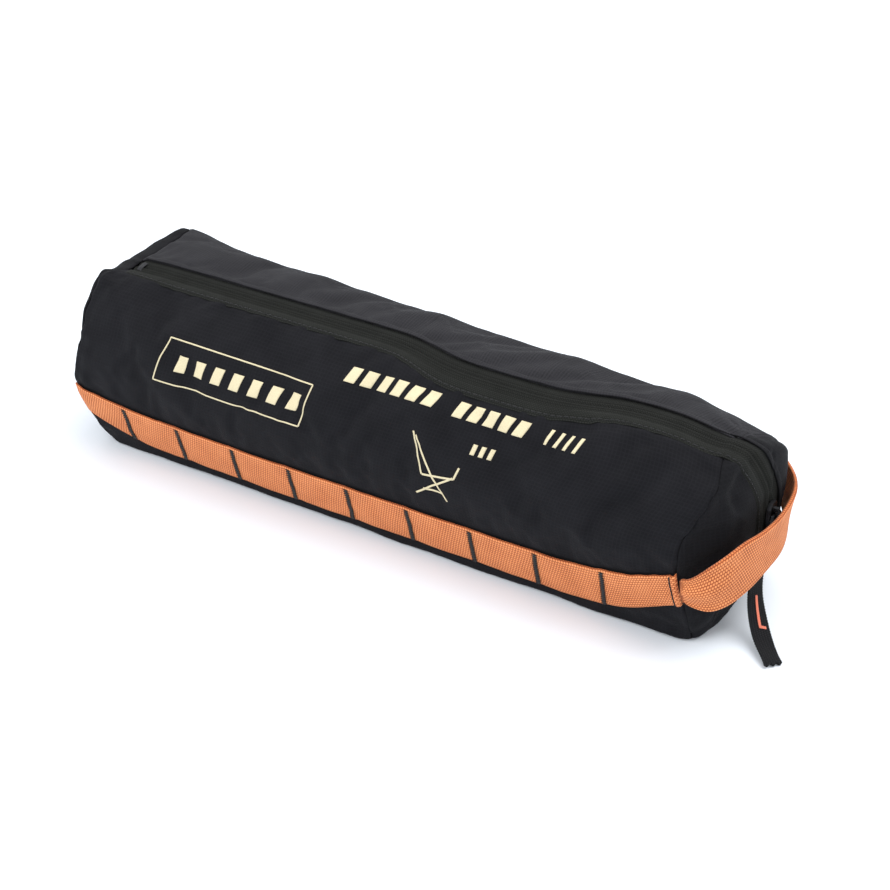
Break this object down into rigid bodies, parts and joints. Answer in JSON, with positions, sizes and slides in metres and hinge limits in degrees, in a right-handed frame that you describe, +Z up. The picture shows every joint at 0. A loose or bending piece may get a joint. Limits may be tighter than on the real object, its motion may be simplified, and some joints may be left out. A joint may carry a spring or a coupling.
{
  "type": "packed ultralight camp chair in carry bag",
  "caption": "Ultralight folding camp chair packed in its zipped loaf-shaped fabric carry bag, with orange webbing along the front and a webbing grab handle on one end.",
  "frame": {"origin": "centre of the footprint, on the surface that the packed bag lies on", "axes": "+X along the bag towards the grab handle, -Y towards the front face with the long webbing, +Z up"},
  "size_m": [0.4265, 0.108, 0.1075],
  "materials": {
    "fabric_black": "matt ripstop weave",
    "fabric_end": "matt ripstop weave",
    "fabric_top": "matt ripstop weave",
    "zip_tape": "woven tape",
    "zip_coil": "nylon coil",
    "slider_metal": "satin black",
    "strap_black": "woven webbing",
    "tack_coral": "embroidery thread",
    "webbing_orange": "woven webbing",
    "thread_black": "bar tack thread",
    "thread_orange": "bar tack thread",
    "hub_plastic": "moulded nylon",
    "pole_aluminium": "anodised",
    "foot_rubber": "matt rubber",
    "tip_plastic": "moulded nylon",
    "shock_cord": "braided elastic",
    "seat_fabric": "matt ripstop weave",
    "seat_mesh": "open mesh",
    "band_elastic": "woven elastic"
  },
  "bodies": {
    "bag": {"base_panel": "fabric_black", "front_panel": "fabric_black", "back_panel": "fabric_black", "left_end_panel": "fabric_end", "right_end_panel": "fabric_end", "zip_tape_front": "zip_tape", "zip_coil_front": "zip_coil", "end_zip_tape": "zip_tape", "end_zip_coil": "zip_coil", "zip_bottom_stop": "zip_coil", "zip_top_stop": "zip_coil", "daisy_chain": "webbing_orange", "daisy_tacks": "thread_black", "daisy_end_stitch": "thread_black", "daisy_fold": "webbing_orange", "hub_left": "hub_plastic", "hub_right": "hub_plastic", "spreader": "pole_aluminium", "leg_front_left": "pole_aluminium", "leg_front_right": "pole_aluminium", "leg_rear_left": "pole_aluminium", "leg_rear_right": "pole_aluminium", "leg_feet": "foot_rubber", "seat_pole_left": "pole_aluminium", "seat_pole_right": "pole_aluminium", "back_pole_lower_left": "pole_aluminium", "back_pole_lower_right": "pole_aluminium", "back_pole_upper_left": "pole_aluminium", "back_pole_upper_right": "pole_aluminium", "pole_tips": "tip_plastic", "shock_cord_left": "shock_cord", "shock_cord_right": "shock_cord", "seat_sling": "seat_fabric", "mesh_panel_left": "seat_mesh", "mesh_panel_right": "seat_mesh", "pocket_front_left": "seat_fabric", "pocket_front_right": "seat_fabric", "pocket_rear_left": "seat_fabric", "pocket_rear_right": "seat_fabric", "binding_tape": "band_elastic"},
    "flap": {"top_flap": "fabric_top", "flap_fold": "fabric_top", "zip_tape_rear": "zip_tape", "zip_coil_rear": "zip_coil"},
    "slider": {"slider_body": "slider_metal", "slider_bridge": "slider_metal"},
    "pull": {"pull_tab": "slider_metal", "pull_strap": "strap_black", "strap_tack": "tack_coral"},
    "handle": {"grab_handle": "webbing_orange", "handle_stitch_front": "thread_orange", "handle_stitch_back": "thread_orange"}
  },
  "joints": [
    {"name": "flap_open", "type": "hinge", "parent": "bag", "child": "flap", "pos_m": [-0.014, 0.0345, 0.09725], "axis": [-0.9995, 0.0247, 0.0206], "range_deg": [0, 100]},
    {"name": "zip_slide", "type": "slide", "parent": "bag", "child": "slider", "axis": [0, 0, 1], "range_m": [0, 0.018]},
    {"name": "pull_swing", "type": "hinge", "parent": "slider", "child": "pull", "pos_m": [0.1912, 0.00365, 0.06], "axis": [0, -1, 0], "range_deg": [0, 6]},
    {"name": "handle_lift", "type": "hinge", "parent": "bag", "child": "handle", "pos_m": [0.169, 0, 0.0495], "axis": [0, -0.9728, -0.2316], "range_deg": [0, 10]}
  ]
}
